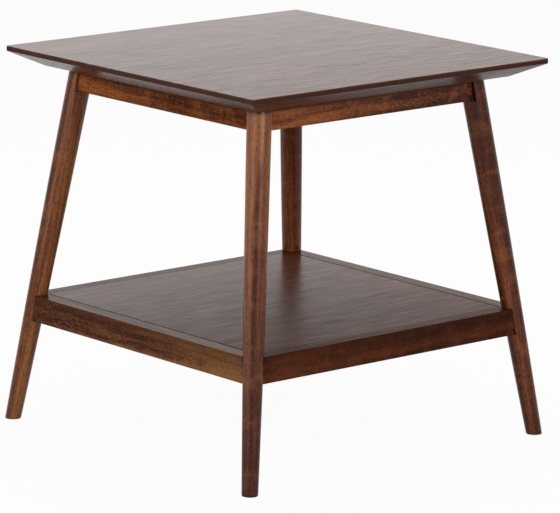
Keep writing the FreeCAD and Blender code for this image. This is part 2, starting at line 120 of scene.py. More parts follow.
class WoodColours(bpy.types.PropertyGroup):
    """Colours of the stained woods, of the stain and painted shade in edges, corners and gaps, of the
    pores, and of the joinery
    """

    top_dark: colour_setting("Top, dark", "Dark streaks of the top", "#331b14")
    top_body: colour_setting("Top, body", "Body of the top", "#4c2a1c")
    top_light: colour_setting("Top, light", "Light streaks of the top", "#643c28")
    leg_dark: colour_setting("Legs, dark", "Dark streaks of the legs", "#3a170c")
    leg_body: colour_setting("Legs, body", "Body of the legs", "#5e2f1b")
    leg_light: colour_setting("Legs, light", "Light streaks of the legs", "#85532f")
    apron_dark: colour_setting("Aprons, dark", "Dark streaks of the aprons", "#35140a")
    apron_body: colour_setting("Aprons, body", "Body of the aprons", "#5f3119")
    apron_light: colour_setting("Aprons, light", "Light streaks of the aprons", "#834b25")
    rail_dark: colour_setting("Rails, dark", "Dark streaks of the front and back rails", "#2a0f08")
    rail_body: colour_setting("Rails, body", "Body of the front and back rails", "#3c1b0f")
    rail_light: colour_setting("Rails, light", "Light streaks of the front and back rails", "#5f321b")
    side_rail_dark: colour_setting("Side rails, dark", "Dark streaks of the side rails", "#27110a")
    side_rail_body: colour_setting("Side rails, body", "Body of the side rails", "#442112")
    side_rail_light: colour_setting("Side rails, light", "Light streaks of the side rails", "#7b5230")
    shelf_dark: colour_setting("Shelf, dark", "Dark streaks of the shelf boards", "#361e17")
    shelf_body: colour_setting("Shelf, body", "Body of the shelf boards", "#4a291c")
    shelf_light: colour_setting("Shelf, light", "Light streaks of the shelf boards", "#583324")
    # Stain soaked into the top's sawn edge with painted shade added, the painted shade in the corner under
    # the top, and the darkening towards the rails' upper edge
    soaked: colour_setting("Soaked edges", "Stain soaked into sawn edges and corners", "#30150a")
    # Painted shade in the grooves beside the shelf boards' ends and on the seats of the legs
    gap: colour_setting("Gaps", "Stain settled in gaps and on the seats of the legs", "#140805")
    pore: colour_setting("Pores", "Pores filled with stain", "#24120c")
    fleck: colour_setting("Flecks", "Open pores that catch the light", "#93653a")
    block_body: colour_setting("Blocks", "Bare wood of the corner blocks and cleats", "#a77c52")
    dowel_body: colour_setting("Dowels", "Bare beech of the dowels", "#c79d6d")
    screw_body: colour_setting("Screws", "Zinc plating of the screws", "#b9bcc0")


class GrainSizes(bpy.types.PropertyGroup):
    """Real sizes of the grain, along the piece and across it"""

    streak_length: length_setting("Streak length", "Colour streaks, along the grain", 420)
    streak_width: length_setting("Streak width", "Colour streaks, across the grain", 15)
    fibre_length: length_setting("Fibre length", "Bundles of fibres, along the grain", 60)
    fibre_width: length_setting("Fibre width", "Bundles of fibres, across the grain", 2.6)
    pore_length: length_setting("Pore length", "Pores, along the grain", 5)
    # Real pores are too fine to show in the render, so these are drawn coarser
    pore_width: length_setting("Pore width", "Pores, across the grain, coarser than real ones", 1.8)
    curl_length: length_setting("Curl length", "Bands of curled figure, along the grain", 26)
    curl_width: length_setting("Curl width", "Bands of curled figure, across the grain", 55)
    wander_length: length_setting("Wander length", "Bends of the grain, from one to the next", 130)


class LegSizes(bpy.types.PropertyGroup):
    """Sizes of the turned legs, as the construction has them"""

    foot_spacing: length_setting("Foot spacing", "Leg axes at the floor, centre to centre", 547)
    head_spacing: length_setting("Head spacing", "Leg axes under the top, centre to centre", 400)
    foot_diameter: length_setting("Foot diameter", "Leg at the floor", 23)
    head_diameter: length_setting("Head diameter", "Leg under the top", 35.6)
    swell: length_setting("Swell", "How far the leg stands out from a straight taper at half length", 1.1)
    allowance: length_setting("Turning allowance", "Turned length beyond both level cuts", 10)
    seat_inset: length_setting("Seat inset", "Flat seat, inboard of the leg's axis", 10)
    seat_gap: length_setting("Seat gap", "Play above the shelf in its seat", 0.4)
    sole_ease: length_setting("Sole easing", "Rounding of the edge round the sole", 0.8)


class StudioSettings(bpy.types.PropertyGroup):
    """Camera and light of the white studio"""

    azimuth: angle_setting("Azimuth", "Where the camera stands round the table", -40.6)
    elevation: angle_setting("Elevation", "Camera above the horizon", 12.4)
    roll: angle_setting("Roll", "Camera turned about its own axis", 0.6)
    distance: length_setting("Distance", "Camera to the point that it looks at", 6130.5)
    aim_level: length_setting("Aim level", "Height of the point that the camera is set out from", 270)
    aim_right: length_setting("Aim right", "Point that the camera looks at, right of the middle", 8.8)
    aim_up: length_setting("Aim up", "Point that the camera looks at, above the aim level", -13.7)
    lens: FloatProperty(
        name="Lens", description="Focal length on a 36 mm sensor", default=268.78, unit="CAMERA"
    )
    floor_radius: length_setting("Floor radius", "Pale floor round the table", 9000)
    key_power: power_setting("Key power", "Soft box left of the camera", 36)
    fill_power: power_setting("Fill power", "Soft box right of the camera", 29)
    back_power: power_setting("Back power", "Soft box high behind the table", 40)
    low_power: power_setting("Low power", "Soft box low behind the table", 2.8)
    sky_strength: FloatProperty(name="Sky", description="Even light from all round", default=0.46)


def settings():
    return bpy.context.scene.end_table


# Node and material helpers

# Numbers of a colour mix's sockets: the share, the first colour, the second colour and the result
MIX_SHARE = 0
MIX_FIRST = 6
MIX_SECOND = 7
MIX_RESULT = 2


def add(tree, kind, inputs=(), stops=(), **options):
    """Adds a node with its options and returns its outputs. Inputs go in order, or by name or number:
    sockets are linked and other values are set. Stops, pairs of place and linear colour, fill a ramp."""
    node = tree.nodes.new(kind)
    for name, value in options.items():
        setattr(node, name, value)
    for name, value in inputs.items() if isinstance(inputs, dict) else enumerate(inputs):
        if isinstance(value, bpy.types.NodeSocket):
            tree.links.new(value, node.inputs[name])
        else:
            node.inputs[name].default_value = value
    if stops:
        elements = node.color_ramp.elements
        while len(elements) < len(stops):
            elements.new(0.5)
        for element, (place, colour) in zip(elements, stops):
            element.position = place
            element.color = opaque(colour)
    return node.outputs


def blank_material(name):
    material = bpy.data.materials.new(name)
    material.use_nodes = True
    tree = material.node_tree
    tree.nodes.clear()
    return material, tree


def finish_surface(tree, inputs):
    shader = add(tree, "ShaderNodeBsdfPrincipled", inputs)
    add(tree, "ShaderNodeOutputMaterial", {"Surface": shader["BSDF"]})


def give(node_name, material):
    """Puts a material on a piece of the construction, in place of all its own."""
    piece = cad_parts[node_name]
    if not piece.material_slots:
        raise RuntimeError(f"{node_name} has no material slot")
    for place in piece.material_slots:
        place.material = material


# Places in the grain, with X along it

LEG_GRAIN = "leg_grain"
LEG_SEAT = "leg_seat"


def along_x(tree):
    return add(tree, "ShaderNodeTexCoord")["Object"]


def along_y(tree):
    """Object coordinates turned a quarter turn, so that X runs along the piece's own Y."""
    inputs = {"Vector": along_x(tree), "Rotation": (0, 0, -math.pi / 2)}
    return add(tree, "ShaderNodeMapping", inputs)["Vector"]


def along_leg(tree):
    """The leg's own coordinates: X along its axis, Y and Z across it."""
    return add(tree, "ShaderNodeAttribute", attribute_name=LEG_GRAIN)["Vector"]


def along_side(side):
    return along_x if side in ("front", "back") else along_y


# Noise of the grain: how much its finer layers add, how many there are and how far it folds on itself
NOISE_ROUGHNESS = 0.55
STREAK_NOISE = dict(detail=4.0, distortion=0.35)
FIBRE_NOISE = dict(detail=3.0, distortion=0.0)
PORE_NOISE = dict(detail=1.0, distortion=0.0)
CURL_NOISE = dict(detail=2.0, distortion=0.8)
WANDER_DETAIL = 1.0


def grain_pattern(tree, place, length, width, detail, distortion):
    """Noise drawn out along X: one unit of it is as long and as wide as given, in metres."""
    scale = (1 / length, 1 / width, 1 / width)
    scaled = add(tree, "ShaderNodeMapping", {"Vector": place, "Scale": scale})
    inputs = {
        "Vector": scaled["Vector"],
        "Scale": 1.0,
        "Detail": detail,
        "Roughness": NOISE_ROUGHNESS,
        "Distortion": distortion,
    }
    return add(tree, "ShaderNodeTexNoise", inputs)[0]


def wandering(tree, place, length, reach):
    """Places shifted sideways by a slow noise, so that the grain bends by about the reach and back."""
    inputs = {"Vector": place, "Scale": 1 / length, "Detail": WANDER_DETAIL}
    slow = add(tree, "ShaderNodeTexNoise", inputs)["Color"]
    inputs = (slow, (0, 2 * reach, 2 * reach), place)
    return add(tree, "ShaderNodeVectorMath", inputs, operation="MULTIPLY_ADD")["Vector"]


# Stained acacia: planed or turned acacia, stained walnut brown under a satin lacquer.
# The eye gets long soft streaks from dark to golden brown that wander a little, fine darker fibres, short
# dark pores and light flecks, faint bands of curled figure, and a thin sheen, white at a low angle.
# Painted shade darkens the corner under the top, the seats of the legs and the ends of the shelf boards,
# and is added to the stain on the top's edge.

# How each kind of piece shows its figure: the colours it takes, the width of its streaks against the usual,
# how far the grain wanders in millimetres, and the strength of the curled bands, fibres, pores and flecks.
# Sheen is the lacquer's share of mirror light, 0.5 for a full film. Satin is its roughness from the
# smoothest to the dullest fibre, wear what use adds to that at the front and at the back of the table.
# Relief is the strength of the grain under the fingers.
NO_WEAR = (0.0, 0.0)
APRON_LOOK = dict(
    wood="apron", streak=0.7, wander=10, curl=0.5, fibres=0.5, pores=0.5, flecks=0.25,
    satin=(0.36, 0.48), wear=NO_WEAR, relief=0.12,
)
LOOKS = {
    "top": dict(
        wood="top", streak=0.9, wander=4, curl=0.1, fibres=0.5, pores=0.4, flecks=0.0,
        sheen=0.1, satin=(0.12, 0.27), wear=(0.06, -0.05), relief=0.03,
    ),
    "shelf": dict(
        wood="shelf", streak=1.0, wander=4, curl=0.1, fibres=0.5, pores=0.4, flecks=0.0,
        sheen=0.06, satin=(0.23, 0.35), wear=(0.14, -0.08), relief=0.022,
    ),
    "leg": dict(
        wood="leg", streak=0.7, wander=4, curl=0.35, fibres=0.5, pores=0.5, flecks=0.12,
        sheen=0.14, satin=(0.24, 0.35), wear=NO_WEAR, relief=0.1,
    ),
    "apron": dict(APRON_LOOK, sheen=0.1),
    "side_apron": dict(APRON_LOOK, sheen=0.02),
    "rail": dict(
        wood="rail", streak=1.6, wander=9, curl=0.4, fibres=0.35, pores=0.4, flecks=0.08,
        sheen=0.03, satin=(0.22, 0.34), wear=(0.14, -0.08), relief=0.06,
    ),
    "side_rail": dict(
        wood="side_rail", streak=1.0, wander=6, curl=0.2, fibres=0.45, pores=0.45, flecks=0.32,
        sheen=0.03, satin=(0.17, 0.27), wear=(0.06, -0.04), relief=0.08,
    ),
}

# Places of the dark, body and light colours on the noise of the streaks, and the parts of the other noises
# over which each layer of the figure, and the dulling of the satin, go from nothing to full strength
TONE_PLACES = (0.32, 0.5, 0.68)
CURL_PART = (0.5, 0.72)
FIBRE_PART = (0.48, 0.68)
FLECK_PART = (0.44, 0.34)
PORE_PART = (0.56, 0.66)
SATIN_PART = (0.38, 0.64)

# Depth of the grain in the relief, and refraction of the lacquer and of the wood
GRAIN_DEPTH = 0.2 * MM
LACQUER_IOR = 1.5
WOOD_IOR = 1.5

# Tone added at the two ends of a piece, with a straight change between: left, front or foot end first
EVEN = (0.0, 0.0)
DRIFTS = {
    "apron_left": (-0.1, 0.07),
    "apron_front": (0.14, -0.27),
    "shelf_rail_left": (0.24, -0.03),
    "shelf_rail_front": (0.03, -0.04),
    # The lighter head of leg_front_left is partly a painted highlight
    "leg_front_left": (-0.29, 0.13),
    "leg_front_right": (-0.06, -0.13),
    "leg_back_left": (0.03, 0.05),
    "leg_back_right": (0.08, -0.16),
}

# Numbers of the patterns: the first of each group, whose pieces are numbered in turn, and those of the
# pieces with a chosen figure
FIRST_FIGURES = {"legs": 1, "top": 11, "aprons": 21, "rails": 31, "shelf": 41}
CHOSEN_FIGURES = {
    "leg_front_right": 501,
    "leg_back_right": 52,
    "leg_front_left": 354,
    "apron_front": 421,
    "apron_left": 324,
    "shelf_rail_front": 131,
    "shelf_rail_left": 434,
}

# Shift of the pattern in metres, at number zero and from each number to the next
PATTERN_FIRST = (0.0, 0.05, 0.0)
PATTERN_STEP = (0.73, 0.31, 0.17)


def below(level, *steps):
    """Stops of level and share, from steps of millimetres below a level, each with its share."""
    return tuple((level - depth * MM, share) for depth, share in steps)


# Darkening as stops of level and share: stain soaked into the top's sawn edge with painted shade added,
# painted shade in the corner under the top, and the rails darker towards their upper edge. Lacquer left
# duller on the top's edge and bevel, as stops of level and roughness
TOP_EDGE_STAIN_AND_SHADE = below(TOP_LEVEL, (8, 0.1), (6.5, 0.9), (2, 0.9), (0.7, 0.0))
TOP_EDGE_DULLED = below(TOP_LEVEL, (8, 0.1), (6.5, 0.2), (2, 0.2), (0.7, 0.0))
UNDER_TOP_SHADE = below(APRON_HIGH_LEVEL, (13, 0.0), (9.3, 0.3), (7.3, 0.9), (4, 1.0))
RAIL_UPPER_DARKENING = (
    (RAIL_LOW_LEVEL + 3 * MM, 0.0),
    *below(SHELF_LEVEL, (11, 0.4), (0.5, 0.65), (0, 0.4)),
)

# Painted shade on the ends of the shelf boards, beside the grooves: how deep it shows, its share and the
# roughness that it adds
END_DEPTH = 2.2 * MM
END_SHADE = 0.9
END_DULLED = 0.6

# Share of painted shade on the seats of each leg
SEAT_SHADE = {"front_right": 0.9, "back_right": 0.5, "back_left": 0.1, "front_left": 0.2}


def pattern_start(number):
    """A shift of the pattern in metres, far from that of the next number."""
    return tuple(step * number + first for step, first in zip(PATTERN_STEP, PATTERN_FIRST))


def follow_level(tree, stops):
    """A share that follows the height of a place, straight between stops of level and share."""
    level = add(tree, "ShaderNodeSeparateXYZ", {"Vector": along_x(tree)})["Z"]
    low, high = stops[0][0], stops[-1][0]
    part = add(tree, "ShaderNodeMapRange", (level, low, high, 0.0, 1.0))["Result"]
    shares = [((height - low) / (high - low), grey(share)) for height, share in stops]
    return add(tree, "ShaderNodeValToRGB", (part,), shares)["Color"]


def near_ends(tree, along, span, reach, share):
    """The share at either end of a piece, falling to zero at the reach from it."""
    low, high = span
    first = add(tree, "ShaderNodeMapRange", (along, low, low + reach, share, 0.0))["Result"]
    second = add(tree, "ShaderNodeMapRange", (along, high - reach, high, 0.0, share))["Result"]
    return add(tree, "ShaderNodeMath", (first, second), operation="ADD")["Value"]


def stained_acacia(
    node, kind, place_of, number, span, soaked=None, dulled=None, seat_shade=0.0, dark_ends=False
):
    """A piece's own stained acacia. place_of gives the coordinates with X along the grain, and the number
    shifts the pattern. The tone drifts from one end of the span to the other. Soak and shade and dulled
    hold stops of level, with the share of the darker colour of soaked stain and painted shade, and with the
    added roughness there. Seat shade is the share of painted shade on a leg's seats, and dark ends have it
    on the ends of the span."""
    look = LOOKS[kind]
    colours = settings().colours
    sizes = settings().grain
    wood = look["wood"]
    dark, body, light = [tuple(getattr(colours, f"{wood}_{tone}")) for tone in ("dark", "body", "light")]
    material, tree = blank_material(f"stained_acacia_{node}")
    real_place = place_of(tree)
    along = add(tree, "ShaderNodeSeparateXYZ", {"Vector": real_place})["X"]
    front_to_back = add(tree, "ShaderNodeSeparateXYZ", {"Vector": along_x(tree)})["Y"]
    start = pattern_start(CHOSEN_FIGURES.get(node, number))
    place = add(tree, "ShaderNodeMapping", {"Vector": real_place, "Location": start})["Vector"]
    place = wandering(tree, place, sizes.wander_length, look["wander"] * MM)

    streak_width = look["streak"] * sizes.streak_width
    streaks = grain_pattern(tree, place, sizes.streak_length, streak_width, **STREAK_NOISE)
    fibre = grain_pattern(tree, place, sizes.fibre_length, sizes.fibre_width, **FIBRE_NOISE)
    dashes = grain_pattern(tree, place, sizes.pore_length, sizes.pore_width, **PORE_NOISE)
    bands = grain_pattern(tree, place, sizes.curl_length, sizes.curl_width, **CURL_NOISE)

    glow = add(tree, "ShaderNodeMapRange", (bands, *CURL_PART, 0.0, look["curl"]))["Result"]
    shadow = add(tree, "ShaderNodeMapRange", (fibre, *FIBRE_PART, 0.0, look["fibres"]))["Result"]
    fleck = add(tree, "ShaderNodeMapRange", (dashes, *FLECK_PART, 0.0, look["flecks"]))["Result"]
    speck = add(tree, "ShaderNodeMapRange", (dashes, *PORE_PART, 0.0, look["pores"]))["Result"]
    layers = [(glow, light), (shadow, dark), (fleck, colours.fleck), (speck, colours.pore)]
    satin = add(tree, "ShaderNodeMapRange", (fibre, *SATIN_PART, *look["satin"]))["Result"]
    wear = add(tree, "ShaderNodeMapRange", (front_to_back, *TABLE_DEPTH, *look["wear"]))["Result"]
    dullings = [wear]
    # Darker by level: painted shade under the top, soaked stain with painted shade on the top's edge, and
    # the rails darker towards their upper edge
    if soaked:
        layers.append((follow_level(tree, soaked), colours.soaked))
    if dulled:
        dullings.append(follow_level(tree, dulled))
    # Painted shade on the leg's seats
    if seat_shade:
        seat = add(tree, "ShaderNodeAttribute", attribute_name=LEG_SEAT)["Fac"]
        share = add(tree, "ShaderNodeMapRange", (seat, 0.0, 1.0, 0.0, seat_shade))["Result"]
        layers.append((share, colours.gap))
    # Painted shade at the ends of the shelf boards, beside the grooves
    if dark_ends:
        layers.append((near_ends(tree, along, span, END_DEPTH, END_SHADE), colours.gap))
        dullings.append(near_ends(tree, along, span, END_DEPTH, END_DULLED))

    drift = DRIFTS.get(node, EVEN)
    drifted = add(tree, "ShaderNodeMapRange", (along, *span, *drift))["Result"]
    tone = add(tree, "ShaderNodeMath", (streaks, drifted), operation="ADD")["Value"]
    tones = list(zip(TONE_PLACES, (dark, body, light)))
    colour = add(tree, "ShaderNodeValToRGB", (tone,), tones)["Color"]
    for share, stain in layers:
        inputs = {MIX_SHARE: share, MIX_FIRST: colour, MIX_SECOND: opaque(stain)}
        colour = add(tree, "ShaderNodeMix", inputs, data_type="RGBA")[MIX_RESULT]
    for dulling in dullings:
        satin = add(tree, "ShaderNodeMath", (satin, dulling), operation="ADD")["Value"]
    height = add(tree, "ShaderNodeMath", (shadow, speck), operation="ADD")["Value"]
    relief = {"Height": height, "Strength": look["relief"], "Distance": GRAIN_DEPTH}
    bump = add(tree, "ShaderNodeBump", relief, invert=True)
    lacquer = {"IOR": LACQUER_IOR, "Specular IOR Level": look["sheen"]}
    finish_surface(tree, {"Base Color": colour, "Roughness": satin, "Normal": bump["Normal"], **lacquer})
    return material


# Bare wood: sawn and planed hardwood with no finish, pale, dry and matt, with plain lengthwise fibres
BARE_STREAK_NOISE = dict(detail=3.0, distortion=0.2)
BARE_FIBRE_NOISE = dict(detail=2.0, distortion=0.0)
BARE_DARKENING = 0.62
BARE_TONE_PLACES = (0.3, 0.65)
BARE_FIBRE_PART = (0.45, 0.75)
BARE_FIBRES = 0.4
BARE_RELIEF = 0.2
BARE_ROUGHNESS = 0.7


def bare_wood(name, body, place_of):
    sizes = settings().grain
    material, tree = blank_material(name)
    place = place_of(tree)
    streaks = grain_pattern(tree, place, sizes.streak_length, sizes.streak_width, **BARE_STREAK_NOISE)
    fibre = grain_pattern(tree, place, sizes.fibre_length, sizes.fibre_width, **BARE_FIBRE_NOISE)
    darker = tuple(BARE_DARKENING * part for part in body)
    tones = list(zip(BARE_TONE_PLACES, (darker, body)))
    colour = add(tree, "ShaderNodeValToRGB", (streaks,), tones)["Color"]
    shadow = add(tree, "ShaderNodeMapRange", (fibre, *BARE_FIBRE_PART, 0.0, BARE_FIBRES))["Result"]
    inputs = {MIX_SHARE: shadow, MIX_FIRST: colour, MIX_SECOND: opaque(darker)}
    colour = add(tree, "ShaderNodeMix", inputs, data_type="RGBA")[MIX_RESULT]
    relief = {"Height": fibre, "Strength": BARE_RELIEF, "Distance": GRAIN_DEPTH}
    bump = add(tree, "ShaderNodeBump", relief)
    dry = {"Roughness": BARE_ROUGHNESS, "IOR": WOOD_IOR}
    finish_surface(tree, {"Base Color": colour, "Normal": bump["Normal"], **dry})
    return material


# Zinc-plated steel: bright, slightly mottled plating on turned screws
MOTTLE_SIZE = 2 * MM
MOTTLE_NOISE = dict(detail=2.0, distortion=0.0)
MOTTLE_PART = (0.35, 0.65)
MOTTLE_ROUGHNESS = (0.28, 0.45)
MOTTLE_TONE_PLACES = (0.3, 0.7)
MOTTLE_DARKENING = 0.8


def zinc_plated_steel(name, body):
    material, tree = blank_material(name)
    mottle = grain_pattern(tree, along_x(tree), MOTTLE_SIZE, MOTTLE_SIZE, **MOTTLE_NOISE)
    dull = add(tree, "ShaderNodeMapRange", (mottle, *MOTTLE_PART, *MOTTLE_ROUGHNESS))["Result"]
    darker = tuple(MOTTLE_DARKENING * part for part in body)
    tones = list(zip(MOTTLE_TONE_PLACES, (darker, body)))
    colour = add(tree, "ShaderNodeValToRGB", (mottle,), tones)["Color"]
    finish_surface(tree, {"Base Color": colour, "Roughness": dull, "Metallic": 1.0})
    return material


# Turned legs

# Rings of a leg's grid on each stretch from the sole up, its columns, rounds of working out the radius, the
# sharpest angle that is shaded smooth, and the least inward share of a direction that is divided by
EASE_RINGS = 5
FOOT_RINGS = 34
SEAT_RINGS = 10
SHAFT_RINGS = 64
LEG_COLUMNS = 96
RADIUS_ROUNDS = 6
SMOOTH_ANGLE = math.radians(35)
LEAST_INWARD = 1e-6


def leg_rows(sizes):
    """Levels of the rings from sole to head, and whether each ring is cut by the seats. A shoulder has two
    rings at one level, one whole and one cut."""
    shelf_high = SHELF_LEVEL + sizes.seat_gap
    ease = sizes.sole_ease * (1 - np.cos(np.linspace(0, math.pi / 2, EASE_RINGS)))
    spans = (
        (ease, False),
        (np.linspace(sizes.sole_ease, RAIL_LOW_LEVEL, FOOT_RINGS)[1:], False),
        (np.linspace(RAIL_LOW_LEVEL, shelf_high, SEAT_RINGS), True),
        (np.linspace(shelf_high, APRON_LOW_LEVEL, SHAFT_RINGS), False),
        (np.linspace(APRON_LOW_LEVEL, LEG_HEAD_LEVEL, SEAT_RINGS), True),
    )
    levels = np.concatenate([span for span, cut in spans])
    cuts = np.concatenate([np.full(len(span), cut) for span, cut in spans])
    return levels, cuts


def leg_surface(sizes, signs):
    """Points of one leg on a grid of levels and angles, their places in the grain, and one on the seats and
    zero elsewhere. At each level the leg's axis lies on the straight line from foot to head, and the radius
    in a level direction is the one at which the distance from the leaning axis equals the turned radius
    there: a straight taper plus a parabola for the swell. Where a seat cuts the leg, the radius stops at
    the two flats that face the middle of the table. The sole's edge is a quarter round."""
    levels, cuts = leg_rows(sizes)
    angles = np.linspace(0, 2 * math.pi, LEG_COLUMNS, endpoint=False)
    level, angle = np.meshgrid(levels, angles, indexing="ij")
    foot, head = sizes.foot_spacing / 2, sizes.head_spacing / 2
    outward = np.array([signs[0], signs[1], 0.0])
    low = foot * outward
    high = head * outward + np.array([0, 0, LEG_HEAD_LEVEL])
    length = np.linalg.norm(high - low)
    lean = (high - low) / length
    middle = low + (level / lean[2])[..., None] * lean
    direction = np.stack([np.cos(angle), np.sin(angle), np.zeros_like(angle)], axis=-1)
    slant = direction @ lean

    radius = np.full_like(level, sizes.foot_diameter / 2)
    for _ in range(RADIUS_ROUNDS):
        along = level / lean[2] + radius * slant
        part = (along + sizes.allowance) / (length + 2 * sizes.allowance)
        turned = (1 - part) * sizes.foot_diameter / 2 + part * sizes.head_diameter / 2
        turned = turned + 4 * sizes.swell * part * (1 - part)
        radius = turned / np.sqrt(1 - slant ** 2)
    rise = np.clip(1 - level / sizes.sole_ease, 0, 1)
    radius = radius - sizes.sole_ease * (1 - np.sqrt(1 - rise ** 2))

    inward = -(direction[..., :2] * outward[:2])
    reach = sizes.seat_inset / np.maximum(inward, LEAST_INWARD)
    flats = np.where(inward > 0, reach, np.inf).min(axis=-1)
    seated = cuts[:, None] & (flats < radius)
    radius = np.where(seated, flats, radius)

    points = middle + radius[..., None] * direction
    side = np.cross([0, 0, 1.0], lean)
    side = side / np.linalg.norm(side)
    across = np.cross(lean, side)
    offset = points - low
    grain = np.stack([offset @ lean, offset @ side, offset @ across], axis=-1)
    return points, grain, seated.astype(float)


def ring_faces(rows, columns):
    """Quads between neighbouring rings of a closed tube, and one face at each end."""
    row, column = np.meshgrid(np.arange(rows - 1), np.arange(columns), indexing="ij")
    following = (column + 1) % columns
    corners = (row * columns + column, row * columns + following)
    corners += ((row + 1) * columns + following, (row + 1) * columns + column)
    quads = np.stack(corners, axis=-1).reshape(-1, 4).tolist()
    sole = np.arange(columns)[::-1].tolist()
    head = (np.arange(columns) + (rows - 1) * columns).tolist()
    return quads + [sole, head]


def new_piece(name, points, faces):
    """An object of the table at the origin, smooth except at sharp edges."""
    mesh = bpy.data.meshes.new(name)
    mesh.from_pydata(points.reshape(-1, 3).tolist(), [], faces)
    mesh.validate()
    mesh.shade_smooth()
    mesh.set_sharp_from_angle(angle=SMOOTH_ANGLE)
    piece = bpy.data.objects.new(name, mesh)
    bpy.context.scene.collection.objects.link(piece)
    return piece


def dress(node, kind, place_of, number, **stains_and_shade):
    """Gives a piece of the construction its own stained acacia."""
    low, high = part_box(node)
    span = (low.x, high.x) if place_of is along_x else (low.y, high.y)
    give(node, stained_acacia(node, kind, place_of, number, span, **stains_and_shade))


class MakeLegs(bpy.types.Operator):
    """Makes the four turned legs, with grain along each leg, in place of the construction's plain ones"""

    bl_idname = "end_table.make_legs"
    bl_label = "Make the legs"

    def execute(self, context):
        sizes = settings().legs
        span = (0.0, LEG_HEAD_LEVEL)
        for number, (corner, signs) in enumerate(CORNER_SIGNS.items(), start=FIRST_FIGURES["legs"]):
            points, grain, seated = leg_surface(sizes, signs)
            node = f"leg_{corner}"
            piece = new_piece(f"turned_{node}", points, ring_faces(*points.shape[:2]))
            attribute = piece.data.attributes.new(LEG_GRAIN, "FLOAT_VECTOR", "POINT")
            attribute.data.foreach_set("vector", grain.astype(np.float32).ravel())
            attribute = piece.data.attributes.new(LEG_SEAT, "FLOAT", "POINT")
            attribute.data.foreach_set("value", seated.astype(np.float32).ravel())
            # Painted shade under the top and on the leg's seats
            stains_and_shade = dict(soaked=UNDER_TOP_SHADE, seat_shade=SEAT_SHADE[corner])
            piece.data.materials.append(stained_acacia(node, "leg", along_leg, number, span, **stains_and_shade))
            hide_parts(node)
            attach(piece, BODY)
        return {"FINISHED"}


class DressTop(bpy.types.Operator):
    """Gives each board of the top its own stained acacia, with the grain from left to right"""

    bl_idname = "end_table.dress_top"
    bl_label = "Dress the top"

    def execute(self, context):
        for number, board in enumerate(TOP_BOARDS, start=FIRST_FIGURES["top"]):
            # The top's edge: stain soaked into it with painted shade added, and duller lacquer
            dress(board, "top", along_x, number, soaked=TOP_EDGE_STAIN_AND_SHADE, dulled=TOP_EDGE_DULLED)
        return {"FINISHED"}


class DressAprons(bpy.types.Operator):
    """Gives each apron its own stained acacia, with the grain along it"""

    bl_idname = "end_table.dress_aprons"
    bl_label = "Dress the aprons"

    def execute(self, context):
        for number, side in enumerate(SIDES, start=FIRST_FIGURES["aprons"]):
            kind = "side_apron" if side in ("left", "right") else "apron"
            # Painted shade in the corner under the top
            dress(f"apron_{side}", kind, along_side(side), number, soaked=UNDER_TOP_SHADE)
        return {"FINISHED"}


class DressShelf(bpy.types.Operator):
    """Gives the shelf's rails and boards their own stained acacia, with the grain along them"""

    bl_idname = "end_table.dress_shelf"
    bl_label = "Dress the shelf"

    def execute(self, context):
        for number, side in enumerate(SIDES, start=FIRST_FIGURES["rails"]):
            kind = "side_rail" if side in ("left", "right") else "rail"
            # The rails are darker towards their upper edge
            dress(f"shelf_rail_{side}", kind, along_side(side), number, soaked=RAIL_UPPER_DARKENING)
        for number, board in enumerate(SHELF_BOARDS, start=FIRST_FIGURES["shelf"]):
            # Painted shade on the boards' ends
            dress(board, "shelf", along_x, number, dark_ends=True)
        return {"FINISHED"}


class DressJoinery(bpy.types.Operator):
    """Gives the hidden blocks, cleats, dowels and screws their bare wood and zinc plating"""

    bl_idname = "end_table.dress_joinery"
    bl_label = "Dress the joinery"

    def execute(self, context):
        colours = settings().colours
        block = bare_wood("planed_hardwood_along_x", colours.block_body, along_x)
        side_block = bare_wood("planed_hardwood_along_y", colours.block_body, along_y)
        for corner in CORNER_SIGNS:
            give(f"corner_block_{corner}", block)
            give(f"shelf_block_{corner}", block)
        for side in SIDES:
            give(f"shelf_cleat_{side}", block if along_side(side) is along_x else side_block)
        dowel = bare_wood("turned_beech", colours.dowel_body, along_x)
        for group in DOWEL_GROUPS:
            give(group, dowel)
        steel = zinc_plated_steel("zinc_plated_steel", colours.screw_body)
        for group in SCREW_GROUPS:
            give(group, steel)
        return {"FINISHED"}


# Studio

# Shade of the floor's paint, the share of white that it shows to the eye and the steps of its rim, and the
# sky's white as it is seen
FLOOR_SHADE = 0.6
FLOOR_WHITE = 0.95
FLOOR_STEPS = 64
SKY_WHITE = 0.97

# Soft boxes: their distance from the aim in metres, then the turn of each from the camera's azimuth and its
# elevation in degrees, and its width and height in metres
BOX_DISTANCE = 2.6
SOFT_BOXES = {
    "key": dict(turn=-48, elevation=17, size=(2.2, 1.6)),
    "fill": dict(turn=31, elevation=18, size=(1.2, 0.8)),
    "back": dict(turn=180, elevation=58, size=(1.8, 1.4)),
    "low": dict(turn=186, elevation=14, size=(3.2, 1.1)),
}

# Camera: the width of its sensor in millimetres, and how far it sees in metres
SENSOR_WIDTH = 36
CAMERA_REACH = 100


def shown_rays(tree):
    """One for rays from the camera, from a glossy surface and through glass, and zero for diffuse light."""
    path = add(tree, "ShaderNodeLightPath")
    inputs = (path["Is Camera Ray"], path["Is Glossy Ray"])
    seen = add(tree, "ShaderNodeMath", inputs, operation="ADD")["Value"]
    inputs = (seen, path["Is Transmission Ray"])
    return add(tree, "ShaderNodeMath", inputs, operation="ADD", use_clamp=True)["Value"]


